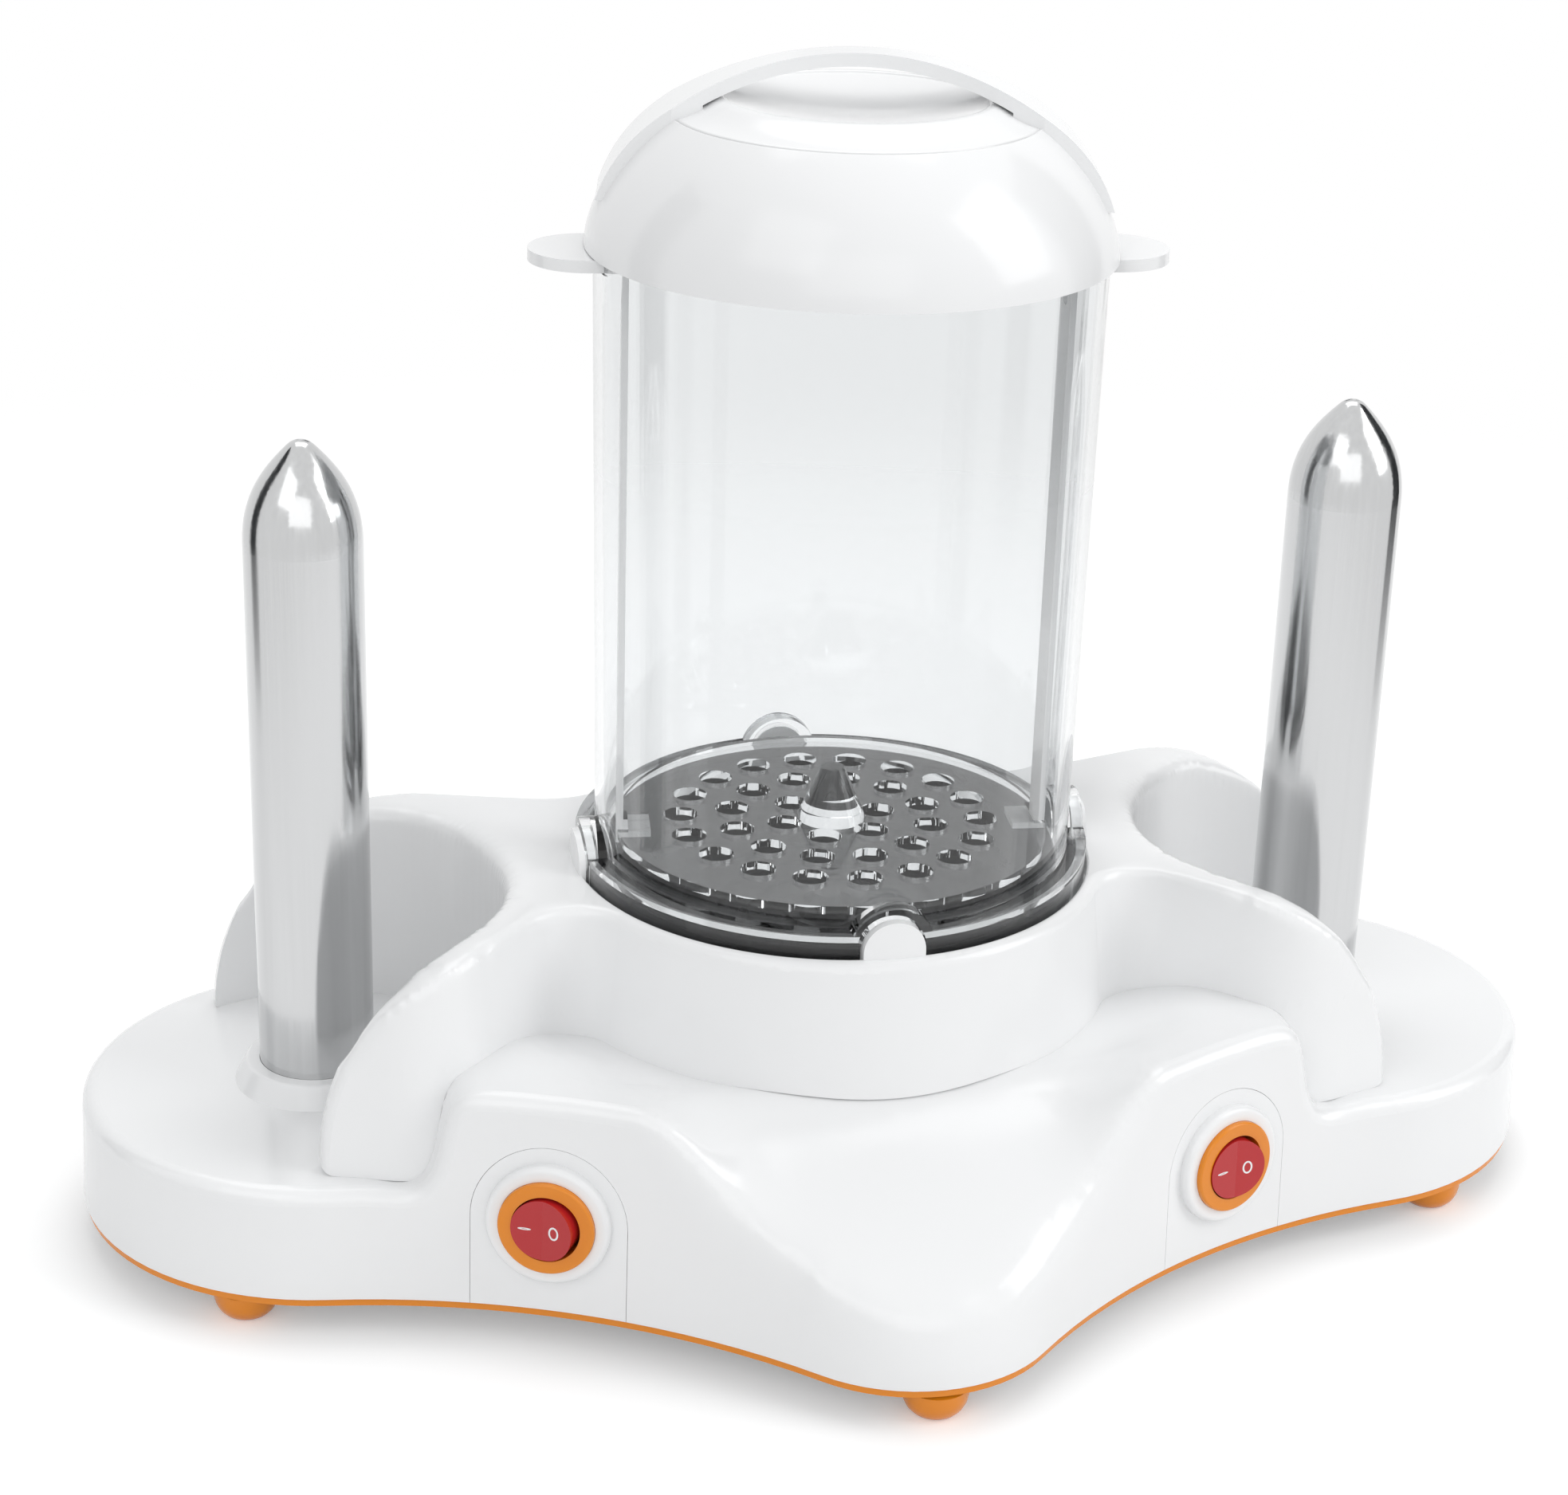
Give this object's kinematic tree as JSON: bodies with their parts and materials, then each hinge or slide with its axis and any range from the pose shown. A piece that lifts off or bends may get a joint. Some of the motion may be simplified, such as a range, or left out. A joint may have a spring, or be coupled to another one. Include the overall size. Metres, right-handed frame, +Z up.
{
  "type": "hot dog spike machine",
  "caption": "Countertop sausage steamer: a clear domed cylinder with a lift-out rack on a lobed base, with heated roll spikes in side hollows and rocker switches.",
  "frame": {"origin": "on the floor, under the middle of the drum", "axes": "+X to the right spike, -Y to the switches, +Z up"},
  "size_m": [0.3896, 0.2574, 0.301],
  "materials": {
    "white_plastic": "glossy white moulded plastic",
    "orange_plastic": "glossy orange moulded plastic",
    "red_plastic": "glossy red moulded plastic",
    "clear_plastic": "clear moulded polycarbonate",
    "polished_steel": "polished stainless steel",
    "black_coating": "black non-stick coating",
    "seal_rubber": "grey silicone",
    "inner_plastic": "matte grey-white plastic",
    "brass": "plain brass",
    "inner_steel": "plain steel"
  },
  "bodies": {
    "base": {"base_housing": "white_plastic", "tower_cover": "white_plastic", "base_plate": "orange_plastic", "foot_1": "orange_plastic", "foot_2": "orange_plastic", "foot_3": "orange_plastic", "foot_4": "orange_plastic", "foot_5": "orange_plastic", "foot_6": "orange_plastic", "base_screws": "inner_steel", "heater_bowl": "black_coating", "bowl_seal": "seal_rubber", "heater_element": "inner_steel", "element_clamp": "inner_steel", "element_nut": "inner_steel", "thermostat": "inner_steel", "thermal_fuse": "inner_steel", "terminal_block": "inner_plastic", "cord_gland": "inner_plastic", "spike_left": "polished_steel", "spike_right": "polished_steel", "spike_collar_left": "white_plastic", "spike_collar_right": "white_plastic", "spike_heater_left": "inner_steel", "spike_heater_right": "inner_steel", "spike_nut_left": "inner_steel", "spike_nut_right": "inner_steel", "switch_panel_left": "white_plastic", "switch_panel_right": "white_plastic", "switch_body_left": "orange_plastic", "switch_body_right": "orange_plastic", "switch_terminals_left": "brass", "switch_terminals_right": "brass"},
    "container": {"glass_container": "clear_plastic"},
    "rack": {"rack_grip_left": "white_plastic", "rack_grip_right": "white_plastic", "rack_plate": "clear_plastic"},
    "lid": {"lid": "white_plastic"},
    "rocker_left": {"rocker_left": "red_plastic"},
    "rocker_right": {"rocker_right": "red_plastic"}
  },
  "joints": [
    {"name": "container_lift", "type": "slide", "parent": "base", "child": "container", "axis": [0, 0, 1], "range_m": [0, 0.05]},
    {"name": "rack_lift", "type": "slide", "parent": "container", "child": "rack", "axis": [0, 0, 1], "range_m": [0, 0.17]},
    {"name": "lid_lift", "type": "slide", "parent": "rack", "child": "lid", "axis": [0, 0, 1], "range_m": [0, 0.06]},
    {"name": "rocker_left_press", "type": "hinge", "parent": "base", "child": "rocker_left", "pos_m": [-0.08652, -0.0778, 0.03485], "axis": [0.0139, 0.032, 0.9994], "range_deg": [0, 18]},
    {"name": "rocker_right_press", "type": "hinge", "parent": "base", "child": "rocker_right", "pos_m": [0.08652, -0.0778, 0.03485], "axis": [-0.0139, 0.032, 0.9994], "range_deg": [0, 18]}
  ]
}
